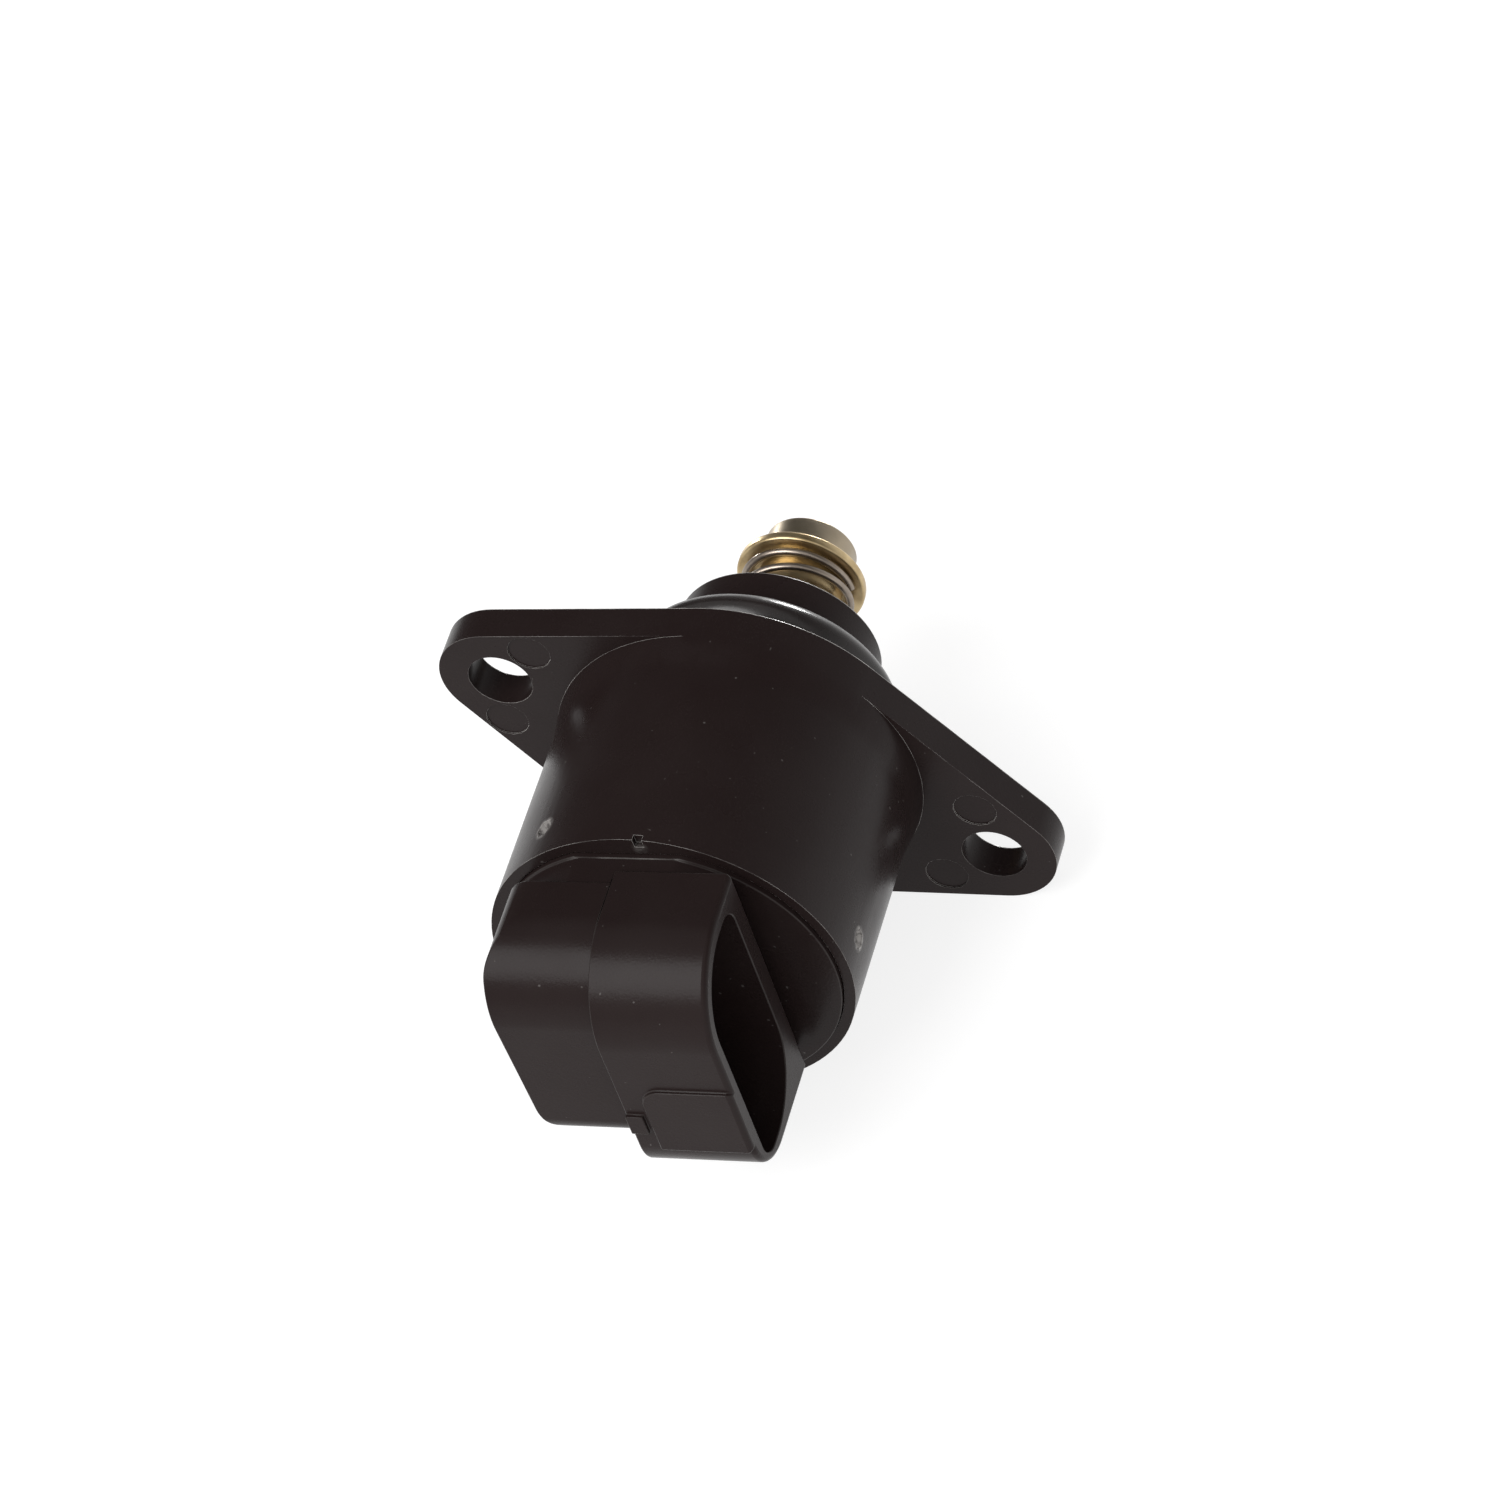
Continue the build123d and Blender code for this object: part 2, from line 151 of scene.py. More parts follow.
def amount(label, words, value):
    """Property for a strength or a share."""
    return FloatProperty(name=label, description=words, default=value, min=0)


def spread(label, words, degrees):
    """Property for the angle that a light fills."""
    return FloatProperty(name=label, description=words, default=radians(degrees), min=0, max=pi,
                         subtype="ANGLE")


def direction(label, words, value):
    """Direction property."""
    return FloatVectorProperty(name=label, description=words, default=value, size=3, subtype="DIRECTION")


class ValveFinish(bpy.types.PropertyGroup):
    """Colours of the valve's materials."""

    moulding: colour("Moulding", "Black glass-filled moulding of housing and cap", (0.0148, 0.0092, 0.0089))
    bloom: colour("Bloom", "Paler skin on the moulding", (0.0182, 0.0123, 0.0118))
    # The two edge tones are painted highlights on the rounded edges of the housing and of the cap
    edge_highlight: colour("Worn edges", "Burnished edges of the housing", (0.40, 0.38, 0.365))
    cap_edge_highlight: colour("Cap edges", "Edges of the end cap and its socket", (0.030, 0.0245, 0.0235))
    # The scuff tone whitens stakes, notch and specks, and is also the colour of the painted highlight line
    # on the cap's flat
    scuff: colour("Scuffs", "Whitened moulding at stakes, notch and specks", (0.60, 0.575, 0.55))
    rubber: colour("Rubber", "Sealing ring", (0.014, 0.0105, 0.010))
    plating: colour("Plating", "Yellow passivated zinc", (0.60, 0.47, 0.27))
    plating_deep: colour("Deep plating", "Brown patches in the plating", (0.37, 0.27, 0.14))
    head: colour("Head", "Turned head of the pintle", (0.39, 0.325, 0.235))
    wire: colour("Wire", "Spring wire", (0.32, 0.27, 0.225))
    stem: colour("Stem", "Rolled lead screw", (0.35, 0.29, 0.21))
    contact: colour("Contacts", "Tinned contact blades", (0.62, 0.60, 0.56))
    steel: colour("Stator", "Pressed stator steel", (0.50, 0.50, 0.50))
    bobbin: colour("Bobbins", "Natural nylon", (0.55, 0.48, 0.36))
    copper: colour("Windings", "Enamelled copper wire", (0.55, 0.22, 0.09))
    hub: colour("Hub", "White moulded hub of the rotor", (0.60, 0.58, 0.50))
    ferrite: colour("Magnet", "Sintered ferrite", (0.09, 0.09, 0.10))
    bronze: colour("Bearings", "Porous bronze", (0.42, 0.27, 0.12))


class ValveSizes(bpy.types.PropertyGroup):
    """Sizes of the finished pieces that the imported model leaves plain."""

    edge: length("Edge", "Rounding of the mouldings' edges", 0.00018)
    main_edge: length("Main edge", "Rounding of the nose's end and of the flange's front", 0.00015)
    mouth_edge: length("Mouth edge", "Rounding of the socket's outer edge at its mouth", 0.0005)
    metal_edge: length("Metal edge", "Rounding of turned and stamped edges", 0.00025)
    blade_edge: length("Blade edge", "Rounding of the contact blades", 0.00015)
    body_radius: length("Body radius", "Radius of the round body", 0.0172)
    stake_inset: length("Stake inset", "Stakes behind the rim of the body", 0.0040)
    rim_step: length("Rim step", "Body's rim behind the face of the cap", 0.0005)
    rim_band: length("Rim band", "Part of the body that moves with its rim", 0.0010)
    notch_x: length("Notch", "Side offset of the notch in the rim", 0.00145)
    notch_inset: length("Notch scuff", "Scuff below the notch, in from the body's outside", 0.0011)
    notch_reach: length("Notch reach", "Reach of the scuff below the notch", 0.0009)
    scuff_reach: length("Scuff reach", "Reach of the whitened moulding round a stake", 0.0013)
    # Painted highlight line along the top edge of the cap's flat
    parting: length("Parting line", "Half width of the parting line on the cap's flat", 0.00008)
    highlight_reach: length("Parting reach", "Half length of the parting line", 0.0060)
    wire: length("Wire", "Diameter of the spring wire", 0.0008)
    closed_pitch: length("Closed pitch", "Rise of a closed end turn", 0.0010)
    active_turns: IntProperty(name="Open turns", description="Turns between the closed ends",
                              default=3, min=1)
    washer: length("Washer", "Thickness of the retainer's washer", 0.0010)
    hub_radius: length("Hub radius", "Radius of the retainer's hub", 0.0042)
    thread_pitch: length("Thread pitch", "Lead of the screw", 0.0010)
    thread_depth: length("Thread depth", "Depth of the rolled thread", 0.0003)
    flash: length("Flash", "Height of the parting line on the rubber ring", 0.00005)


class ValveStage(bpy.types.PropertyGroup):
    """Camera, table and light."""

    lens: FloatProperty(name="Lens", description="Focal length in millimetres", default=144.0, min=1.0)
    floor: colour("Table", "Top of the lit table", (0.28, 0.28, 0.28))
    floor_size: length("Table size", "Side of the table", 40.0)
    glow: amount("Glow", "Light that the table gives off", 0.83)
    horizon: amount("Horizon", "Brightness of the room at eye level", 1.0)
    zenith: amount("Zenith", "Brightness of the room overhead", 0.12)
    shade: amount("Shade", "Share of that brightness on the room's left", 0.2)
    light_from: direction("Light from", "Where the key and the soft light come from", (-0.36, -0.56, 0.75))
    key: amount("Key", "Strength of the key light", 2.3)
    key_angle: spread("Key width", "Angle that the key light fills", 42)
    soft: amount("Soft light", "Strength of the broad light round the key", 1.3)
    soft_angle: spread("Soft width", "Angle that the broad light fills", 120)
    rim_from: direction("Rim from", "Where the light from behind comes from", (0.0, 1.0, 0.0))
    rim: amount("Rim light", "Strength of the light from behind", 3.0)
    rim_angle: spread("Rim width", "Angle that the light from behind fills", 10)
    glint_from: direction("Glint from", "Where the small lamp at the head stands", (-0.77, 0.62, 0.06))
    glint: amount("Glint", "Power of the small lamp", 0.3)
    glint_angle: spread("Glint angle", "Cone of the small lamp", 5)
    glint_blend: amount("Glint blend", "Softness of the cone's edge", 0.5)
    glint_width: length("Glint width", "Radius of the small lamp", 0.03)
    glint_reach: length("Glint reach", "Distance of the small lamp from the head", 0.2)


# Modelling helpers

def start_clean():
    """Leaves nothing selected, so that the next operator works on its own piece."""
    if bpy.context.object and bpy.context.object.mode != "OBJECT":
        bpy.ops.object.mode_set(mode="OBJECT")
    bpy.ops.object.select_all(action="DESELECT")


def hold(piece):
    """Makes a piece the only selected and the active one."""
    start_clean()
    piece.select_set(True)
    bpy.context.view_layer.objects.active = piece


def apply_place(piece):
    """Moves a piece's place into its mesh."""
    hold(piece)
    bpy.ops.object.transform_apply(location=True, rotation=True, scale=True)


def apply_modifier(piece, kind, **settings):
    """Adds one modifier with its settings and applies it."""
    hold(piece)
    modifier = piece.modifiers.new(kind.title(), kind)
    for key, value in settings.items():
        setattr(modifier, key, value)
    bpy.ops.object.modifier_apply(modifier=modifier.name)


def edit_all(piece):
    """Opens a piece's mesh with all of it selected, and stays in edit mode."""
    hold(piece)
    bpy.ops.object.mode_set(mode="EDIT")
    bpy.ops.mesh.select_all(action="SELECT")


def merge_close(piece):
    """Joins the vertices that lie on each other, and stays in edit mode."""
    edit_all(piece)
    bpy.ops.mesh.remove_doubles(threshold=CLOSE)


def finish_mesh(piece, angle=SHARP_ANGLE):
    """Joins doubles, turns the faces outwards and shades round faces smooth."""
    merge_close(piece)
    bpy.ops.mesh.normals_make_consistent(inside=False)
    bpy.ops.object.mode_set(mode="OBJECT")
    bpy.ops.object.shade_smooth_by_angle(angle=radians(angle))


def select_parts(piece, kind, wanted):
    """Selects the vertices or the edges that a test accepts, and stays in edit mode."""
    hold(piece)
    bpy.ops.object.mode_set(mode="EDIT")
    bpy.ops.mesh.select_mode(type=kind)
    bpy.ops.mesh.select_all(action="DESELECT")
    bpy.ops.object.mode_set(mode="OBJECT")
    parts = piece.data.edges if kind == "EDGE" else piece.data.vertices
    for part in parts:
        part.select = wanted(part)
    bpy.ops.object.mode_set(mode="EDIT")


def joined_copy(node, name):
    """Copy of a CAD node with its triangles joined, its flat faces cleared and a second slot for edges."""
    piece = bpy.data.objects.new(name, frame["nodes"][node].data.copy())
    bpy.context.scene.collection.objects.link(piece)
    hold(piece)
    bpy.ops.mesh.customdata_custom_splitnormals_clear()
    merge_close(piece)
    bpy.ops.mesh.dissolve_limited(angle_limit=radians(FLAT_ANGLE))
    finish_mesh(piece)
    piece.data.materials.append(None)
    return piece


def beyond(point, reaches):
    """Says whether a point is at one of the heights along the axis and outside that height's reach."""
    away = hypot(point.x, point.z)
    return any(abs(point.y - height) < TINY and away > reach for height, reach in reaches.items())


def soften(piece, wanted, edge, segments, mark=-1):
    """Rounds the sharp edges between vertices that a test accepts.

    The new faces take the mark as their slot, or keep their neighbours' slot if it is -1.
    """
    def chosen(line):
        return line.use_edge_sharp and all(wanted(piece.data.vertices[index]) for index in line.vertices)

    select_parts(piece, "EDGE", chosen)
    bpy.ops.mesh.bevel(affect="EDGES", offset=edge, segments=segments, material=mark)
    finish_mesh(piece)


def round_edges(piece, edge):
    """Rounds a piece's edges and marks the rounded faces."""
    apply_modifier(piece, "BEVEL", width=edge, segments=2, limit_method="ANGLE",
                   angle_limit=radians(SHARP_ANGLE), use_clamp_overlap=True, material=EDGE_SLOT)
    merge_close(piece)
    bpy.ops.object.mode_set(mode="OBJECT")
    faces = piece.data.polygons
    rounded = [float(face.material_index) for face in faces]
    piece.data.attributes.new(EDGE_MARK, "FLOAT", "FACE").data.foreach_set("value", rounded)
    faces.foreach_set("material_index", [0] * len(faces))
    apply_modifier(piece, "WEIGHTED_NORMAL", keep_sharp=True)


def draw_line(name, points):
    """Mesh line through points of the XY plane, extruded from one vertex."""
    start_clean()
    bpy.ops.mesh.primitive_plane_add(size=0.001, location=(*points[0], 0))
    piece = bpy.context.object
    piece.name = name
    bpy.ops.object.mode_set(mode="EDIT")
    bpy.ops.mesh.merge(type="CENTER")
    for (x0, y0), (x1, y1) in zip(points, points[1:]):
        bpy.ops.mesh.extrude_region_move(TRANSFORM_OT_translate={"value": (x1 - x0, y1 - y0, 0)})
    apply_place(piece)
    return piece


def draw_circle(name, points, radius, middle):
    """Mesh circle in the XY plane."""
    start_clean()
    bpy.ops.mesh.primitive_circle_add(vertices=points, radius=radius, location=(*middle, 0))
    piece = bpy.context.object
    piece.name = name
    apply_place(piece)
    return piece


def turn_on_axis(piece, steps):
    """Spins a drawn section once round the valve's axis."""
    edit_all(piece)
    bpy.ops.mesh.spin(steps=steps, angle=2 * pi, center=ORIGIN, axis=AXIS)
    finish_mesh(piece)


def screw_on_axis(piece, pitch, turns, steps, merged):
    """Carries a drawn section round and along the valve's axis."""
    apply_modifier(piece, "SCREW", axis="Y", angle=2 * pi, screw_offset=pitch, iterations=turns,
                   steps=steps, render_steps=steps, use_merge_vertices=merged)


def lathe(name, points, rounded, edge):
    """Turned piece: a closed section with some of its corners rounded, spun round the axis."""
    piece = draw_line(name, [*points, points[0]])
    merge_close(piece)
    corners = [Vector((*point, 0)) for point in rounded]

    def chosen(vertex):
        return any((vertex.co - corner).length < CLOSE for corner in corners)

    select_parts(piece, "VERT", chosen)
    bpy.ops.mesh.bevel(affect="VERTICES", offset=edge, segments=4)
    turn_on_axis(piece, LATHE_STEPS)
    return piece


def join(pieces):
    """Joins pieces into the first of them."""
    start_clean()
    for piece in pieces:
        piece.select_set(True)
    bpy.context.view_layer.objects.active = pieces[0]
    bpy.ops.object.join()
    return pieces[0]


def dress(piece, material, body, slot, *nodes):
    """Gives a piece its material and the body that carries it, and hides the CAD nodes that it stands for.
    """
    piece.data.materials.clear()
    piece.data.materials.append(material)
    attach(piece, body)
    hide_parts(*nodes)


# Material helpers

class Finish:
    """One material's node tree around a principled shader, with patterns on Object coordinates."""

    def __init__(self, name, roughness=0.5, metallic=0.0):
        self.material = bpy.data.materials.new(name)
        self.material.use_nodes = True
        self.tree = self.material.node_tree
        self.shader = self.tree.nodes["Principled BSDF"]
        self.shader.inputs["Roughness"].default_value = roughness
        self.shader.inputs["Metallic"].default_value = metallic
        self.place = self.add("ShaderNodeTexCoord").outputs["Object"]

    def add(self, kind, **settings):
        """Adds a node with its settings."""
        node = self.tree.nodes.new(kind)
        for key, value in settings.items():
            setattr(node, key, value)
        return node

    def link(self, output, target):
        """Links an output to a socket."""
        self.tree.links.new(output, target)

    def colour_by(self, output):
        """Takes the base colour from an output."""
        self.link(output, self.shader.inputs["Base Color"])

    def roughen(self, factor, low, high):
        """Spreads the roughness over a range by a factor."""
        self.link(self.span(factor, low, high), self.shader.inputs["Roughness"])

    def noise(self, scale, detail=4.0, stretch=(1, 1, 1)):
        """Noise of a scale per metre, stretched along the axes."""
        mapping = self.add("ShaderNodeMapping")
        mapping.inputs["Scale"].default_value = stretch
        self.link(self.place, mapping.inputs["Vector"])
        noise = self.add("ShaderNodeTexNoise")
        noise.inputs["Scale"].default_value = scale
        noise.inputs["Detail"].default_value = detail
        self.link(mapping.outputs["Vector"], noise.inputs["Vector"])
        return noise.outputs["Fac"]

    def ramp(self, factor, *stops):
        """Colour ramp between two (place, colour) stops."""
        node = self.add("ShaderNodeValToRGB")
        for element, (place, value) in zip(node.color_ramp.elements, stops):
            element.position = place
            element.color = (*value, 1.0)
        self.link(factor, node.inputs["Fac"])
        return node.outputs["Color"]

    def span(self, factor, low, high, source=(0.0, 1.0)):
        """Maps a factor from a source range onto another."""
        node = self.add("ShaderNodeMapRange")
        node.inputs["From Min"].default_value = source[0]
        node.inputs["From Max"].default_value = source[1]
        node.inputs["To Min"].default_value = low
        node.inputs["To Max"].default_value = high
        self.link(factor, node.inputs["Value"])
        return node.outputs["Result"]

    def blend(self, factor, first, second):
        """Mixes two colours by a factor."""
        node = self.add("ShaderNodeMix", data_type="RGBA")
        self.link(factor, node.inputs["Factor"])
        for value, target in ((first, node.inputs["A"]), (second, node.inputs["B"])):
            if isinstance(value, bpy.types.NodeSocket):
                self.link(value, target)
            else:
                target.default_value = (*value, 1.0)
        return node.outputs["Result"]

    def bump(self, height, distance, strength):
        """Adds relief of a depth in metres."""
        node = self.add("ShaderNodeBump")
        node.inputs["Distance"].default_value = distance
        node.inputs["Strength"].default_value = strength
        self.link(height, node.inputs["Height"])
        if self.shader.inputs["Normal"].is_linked:
            self.link(self.shader.inputs["Normal"].links[0].from_socket, node.inputs["Normal"])
        self.link(node.outputs["Normal"], self.shader.inputs["Normal"])

    def mark(self, name):
        """Value of a mark that the mesh carries."""
        return self.add("ShaderNodeAttribute", attribute_name=name).outputs["Fac"]

    def times(self, first, second):
        """Product of two factors."""
        node = self.add("ShaderNodeMath", operation="MULTIPLY")
        self.link(first, node.inputs[0])
        self.link(second, node.inputs[1])
        return node.outputs["Value"]

    def part(self, axis):
        """One coordinate of the place."""
        parts = self.add("ShaderNodeSeparateXYZ")
        self.link(self.place, parts.inputs["Vector"])
        return parts.outputs[axis]

    def near(self, point, radius, weight):
        """Weight at a point, falling to nothing at a radius."""
        node = self.add("ShaderNodeVectorMath", operation="DISTANCE")
        node.inputs[1].default_value = point
        self.link(self.place, node.inputs[0])
        return self.span(node.outputs["Value"], weight, 0.0, source=(radius * MARK_CORE, radius))

    def line(self, height, half):
        """One where Y is within half a width of a height, and nothing elsewhere."""
        node = self.add("ShaderNodeMath", operation="COMPARE")
        node.inputs[1].default_value = height
        node.inputs[2].default_value = half
        self.link(self.part("Y"), node.inputs[0])
        return node.outputs["Value"]


def scaled(tone, share):
    """Tone made darker or paler by a share."""
    return [value * share for value in tone]


def moulding_finish(name, edge_highlight, scuffs, parting=None):
    """Satin black moulding: bloom, specks, grain, painted highlights on the rounded edges, whitened scuffs
    and a painted highlight line.
    """
    tones = bpy.context.scene.valve_finish
    sizes = bpy.context.scene.valve_sizes
    finish = Finish(name)
    finish.shader.inputs["Specular IOR Level"].default_value = 0.10
    skin = finish.ramp(finish.noise(scale=90.0, detail=6.0), (0.38, tones.moulding), (0.75, tones.bloom))
    specks = finish.span(finish.noise(scale=2200.0, detail=0.0), 0.0, SPECK_WEIGHT, source=(0.85, 0.90))
    skin = finish.blend(specks, skin, tones.scuff)
    patchy = finish.span(finish.noise(scale=350.0, detail=3.0), low=0.3, high=1.0, source=(0.35, 0.6))
    # Painted highlight on the rounded edges, broken into patches
    skin = finish.blend(finish.times(finish.mark(EDGE_MARK), patchy), skin, edge_highlight)
    broken = finish.span(finish.noise(scale=1500.0, detail=3.0), low=0.3, high=1.0, source=(0.42, 0.6))
    # Whitened stakes and notch; the first stake's full weight is partly a painted glint
    for scuff in scuffs:
        skin = finish.blend(finish.times(finish.near(*scuff), broken), skin, tones.scuff)
    # Painted highlight line along the top edge of the cap's flat, fading towards its ends
    if parting:
        faded = finish.near(parting, sizes.highlight_reach, HIGHLIGHT_WEIGHT)
        line = finish.times(finish.line(parting[1], sizes.parting), faded)
        skin = finish.blend(finish.times(line, patchy), skin, tones.scuff)
    finish.colour_by(skin)
    finish.roughen(finish.noise(scale=260.0, detail=5.0), low=0.22, high=0.34)
    finish.bump(finish.noise(scale=4200.0, detail=3.0), distance=0.000012, strength=1.0)
    finish.bump(finish.noise(scale=420.0, detail=2.0), distance=0.000015, strength=0.2)
    return finish.material


def rubber_finish():
    """Satin rubber with a fine mould grain."""
    tone = bpy.context.scene.valve_finish.rubber
    finish = Finish("ring_rubber")
    finish.shader.inputs["Specular IOR Level"].default_value = 0.45
    finish.colour_by(finish.ramp(finish.noise(scale=300.0), (0.3, tone), (0.8, scaled(tone, 1.7))))
    finish.roughen(finish.noise(scale=700.0), low=0.22, high=0.32)
    finish.bump(finish.noise(scale=3500.0), distance=0.00001, strength=0.4)
    return finish.material


def plating_finish():
    """Yellow passivated zinc: patchy amber over steel."""
    tones = bpy.context.scene.valve_finish
    finish = Finish("yellow_plating", metallic=1.0)
    patches = finish.noise(scale=380.0, detail=5.0)
    finish.colour_by(finish.ramp(patches, (0.3, tones.plating_deep), (0.62, tones.plating)))
    finish.roughen(finish.noise(scale=900.0), low=0.28, high=0.42)
    finish.bump(finish.noise(scale=1500.0), distance=0.000008, strength=0.5)
    return finish.material


def turned_finish(name, tone, roughness):
    """Turned metal: fine rings round the axis and slight tarnish."""
    finish = Finish(name, metallic=1.0)
    tarnish = finish.noise(scale=250.0, detail=5.0)
    finish.colour_by(finish.ramp(tarnish, (0.3, scaled(tone, 0.7)), (0.7, tone)))
    finish.roughen(finish.noise(scale=1200.0), low=roughness - 0.06, high=roughness + 0.1)
    rings = finish.noise(scale=9000.0, detail=2.0, stretch=(0.02, 1.0, 0.02))
    finish.bump(rings, distance=0.000006, strength=0.6)
    return finish.material


def plain_metal(name, tone, roughness):
    """Drawn or stamped metal with slight marks."""
    finish = Finish(name, metallic=1.0)
    marks = finish.noise(scale=600.0, detail=5.0)
    finish.colour_by(finish.ramp(marks, (0.3, scaled(tone, 0.75)), (0.7, tone)))
    finish.roughen(finish.noise(scale=1500.0), low=roughness - 0.08, high=roughness + 0.08)
    finish.bump(finish.noise(scale=4000.0), distance=0.000005, strength=0.5)
    return finish.material


def plain_plastic(name, tone, roughness):
    """Inner moulding with a light grain."""
    finish = Finish(name, roughness)
    finish.colour_by(finish.ramp(finish.noise(scale=200.0), (0.3, scaled(tone, 0.9)), (0.7, tone)))
    finish.bump(finish.noise(scale=2500.0), distance=0.00001, strength=0.4)
    return finish.material


def winding_finish(tone):
    """Enamelled copper: close turns across the axis."""
    finish = Finish("copper_winding", roughness=0.3, metallic=1.0)
    turns = finish.add("ShaderNodeTexWave", wave_type="BANDS", bands_direction="Y")
    turns.inputs["Scale"].default_value = 1600.0
    finish.link(finish.place, turns.inputs["Vector"])
    finish.colour_by(finish.ramp(turns.outputs["Fac"], (0.1, scaled(tone, 0.5)), (0.7, tone)))
    finish.bump(turns.outputs["Fac"], distance=0.00005, strength=0.8)
    return finish.material


# Pieces

class VALVE_OT_housing(bpy.types.Operator):
    """Flanged housing with painted highlights on its edges and whitened stakes, one with a painted glint,
    its rim a step behind the cap's face
    """

    bl_idname = "valve.housing"
    bl_label = "Housing"

    def execute(self, context):
        sizes = context.scene.valve_sizes
        low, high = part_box("housing")
        rim = low.y
        housing = joined_copy("housing", "moulded_housing")
        nose = MOUNTS["nose_pilot"]["dims"]["r_mm"] / MM_PER_M - TINY
        flange_face = MOUNTS["flange_face"]["pos_m"][1]
        reaches = {high.y: nose, flange_face: sizes.body_radius}
        # The nose's end and the flange's front get rounded faces that carry the painted edge highlight
        soften(housing, lambda vertex: beyond(vertex.co, reaches), sizes.main_edge,
               segments=2, mark=EDGE_SLOT)
        select_parts(housing, "VERT", lambda vertex: vertex.co.y < rim + sizes.rim_band)
        bpy.ops.transform.translate(value=(0, sizes.rim_step, 0))
        round_edges(housing, sizes.edge)
        # Tone of the painted highlights on the rounded edges
        edge_highlight = context.scene.valve_finish.edge_highlight
        finish = moulding_finish("black_moulding", edge_highlight, self.scuffs(sizes, rim))
        dress(housing, finish, BODY, "black_moulding", "housing")
        return {"FINISHED"}

    def scuffs(self, sizes, rim):
        """Where the moulding is whitened, how far and how much: the stakes, the first with a painted glint,
        and, faintly, the notch.
        """
        around = [(cos(radians(angle)), sin(radians(angle))) for angle in STAKE_ANGLES]
        radius = sizes.body_radius
        stakes = [(radius * x, rim + sizes.stake_inset, radius * z) for x, z in around]
        marks = [(stake, sizes.scuff_reach, weight) for stake, weight in zip(stakes, STAKE_WHITENESS_AND_GLINT)]
        notch = (sizes.notch_x, rim + sizes.rim_step, radius - sizes.notch_inset)
        return [*marks, (notch, sizes.notch_reach, NOTCH_WEIGHT)]


class VALVE_OT_cap(bpy.types.Operator):
    """End cap with the plug socket, its mouth rounded outside"""

    bl_idname = "valve.cap"
    bl_label = "End cap"

    def execute(self, context):
        sizes = context.scene.valve_sizes
        cap = joined_copy("end_cap", "moulded_cap")
        mouth = Vector(MOUNTS["plug_socket"]["pos_m"])

        def outer_rim(vertex):
            return abs(vertex.co.x - mouth.x) < TINY and (vertex.co - mouth).dot(vertex.normal) > 0

        soften(cap, outer_rim, sizes.mouth_edge, segments=4)
        round_edges(cap, sizes.edge)
        # Painted highlight line along the top of the flat, and painted highlights on the rounded edges
        parting = (0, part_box("housing")[0].y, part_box("end_cap")[1].z)
        edge_highlight = context.scene.valve_finish.cap_edge_highlight
        finish = moulding_finish("cap_moulding", edge_highlight, scuffs=(), parting=parting)
        dress(cap, finish, BODY, "cap_moulding", "end_cap")
        return {"FINISHED"}


class VALVE_OT_rubber_ring(bpy.types.Operator):
    """Rubber ring with its parting line, at the root of the nose"""

    bl_idname = "valve.rubber_ring"
    bl_label = "Rubber ring"

    def execute(self, context):
        low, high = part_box("nose_o_ring")
        radius = (high.y - low.y) / 2
        middle = (high.x - radius, (low.y + high.y) / 2)
        flash = context.scene.valve_sizes.flash
        ring = draw_circle("rubber_ring", RING_POINTS, radius - flash, middle)
        select_parts(ring, "VERT", lambda vertex: vertex.co.x > middle[0] + radius - 2 * flash)
        bpy.ops.transform.translate(value=(flash, 0, 0))
        turn_on_axis(ring, RING_STEPS)
        dress(ring, rubber_finish(), BODY, "ring_rubber", "nose_o_ring")
        return {"FINISHED"}


class VALVE_OT_return_spring(bpy.types.Operator):
    """Round-wire spring with closed ends"""

    bl_idname = "valve.return_spring"
    bl_label = "Return spring"

    def execute(self, context):
        sizes = context.scene.valve_sizes
        low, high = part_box("return_spring")
        half = sizes.wire / 2
        flat = half * cos(pi / PACKED_WIRE_SIDES)
        first, last = low.y + flat, high.y - flat
        rise = last - first - 2 * sizes.closed_pitch
        # A closed turn at each end, and the open turns between them
        starts = (first, first + sizes.closed_pitch, last - sizes.closed_pitch)
        pitches = (sizes.closed_pitch, rise / sizes.active_turns, sizes.closed_pitch)
        runs = []
        for start, pitch, turns in zip(starts, pitches, (1, sizes.active_turns, 1)):
            run = draw_circle("return_spring_wire", WIRE_POINTS, half, (high.x - half, start))
            screw_on_axis(run, pitch, turns, WIRE_STEPS, merged=False)
            runs.append(run)
        spring = join(runs)
        merge_close(spring)
        bpy.ops.mesh.fill_holes(sides=0)
        finish_mesh(spring)
        tone = context.scene.valve_finish.wire
        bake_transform(spring)
        spring.data.materials.append(plain_metal("spring_steel", tone, roughness=0.3))
        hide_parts("return_spring")
        return {"FINISHED"}


class VALVE_OT_retainer(bpy.types.Operator):
    """Plated washer with a hub, behind the head"""

    bl_idname = "valve.retainer"
    bl_label = "Spring retainer"

    def execute(self, context):
        sizes = context.scene.valve_sizes
        low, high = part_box("spring_retainer")
        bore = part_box("lead_screw")[1].x
        hub, back = sizes.hub_radius, high.y - sizes.washer
        points = [(bore, low.y), (hub, low.y), (hub, back),
                  (high.x, back), (high.x, high.y), (bore, high.y)]
        rounded = [points[1], points[3], points[4]]
        piece = lathe("plated_retainer", points, rounded, sizes.metal_edge)
        dress(piece, plating_finish(), PINTLE, "yellow_plating", "spring_retainer")
        return {"FINISHED"}


